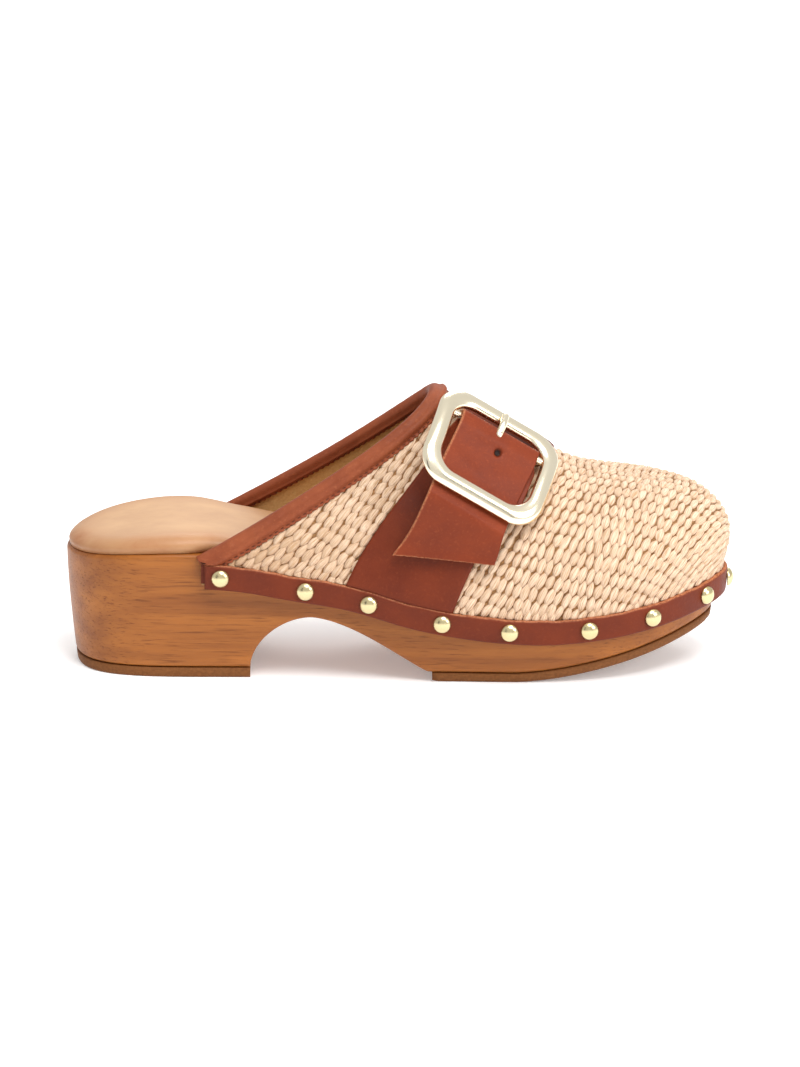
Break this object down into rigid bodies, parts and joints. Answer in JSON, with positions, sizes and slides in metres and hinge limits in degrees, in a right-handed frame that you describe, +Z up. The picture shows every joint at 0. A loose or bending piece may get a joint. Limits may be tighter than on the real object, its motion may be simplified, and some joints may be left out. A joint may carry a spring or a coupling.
{
  "type": "raffia clog",
  "caption": "Backless wooden-soled clog for the right foot, with a woven raffia vamp, studded leather rand, leather collar binding and a wide strap with a large gold buckle.",
  "frame": {"origin": "middle of the heel lift's flat underside, on the floor", "axes": "+X from heel to toe, +Z up, -Y is the outer side of the right shoe"},
  "size_m": [0.251, 0.0945, 0.108],
  "materials": {
    "wood": "oiled honey wood",
    "rubber": "matt brown rubber",
    "insole_leather": "smooth pale tan leather, burnished edge",
    "raffia": "hand-woven natural raffia",
    "leather": "cognac leather, semi-gloss",
    "gold": "polished pale gold plate"
  },
  "bodies": {
    "root": {"wood_sole": "wood", "heel_lift": "rubber", "forefoot_outsole": "rubber", "insole": "insole_leather", "upper": "raffia", "collar_binding": "leather", "strap": "leather", "rand": "leather", "buckle_tab": "leather", "buckle_frame": "gold", "buckle_prong": "gold", "stud_toe": "gold", "stud_outer_1": "gold", "stud_inner_1": "gold", "stud_outer_2": "gold", "stud_inner_2": "gold", "stud_outer_3": "gold", "stud_inner_3": "gold", "stud_outer_4": "gold", "stud_inner_4": "gold", "stud_outer_5": "gold", "stud_inner_5": "gold", "stud_outer_6": "gold", "stud_inner_6": "gold", "stud_outer_7": "gold", "stud_inner_7": "gold", "stud_outer_8": "gold", "stud_inner_8": "gold"}
  },
  "joints": []
}
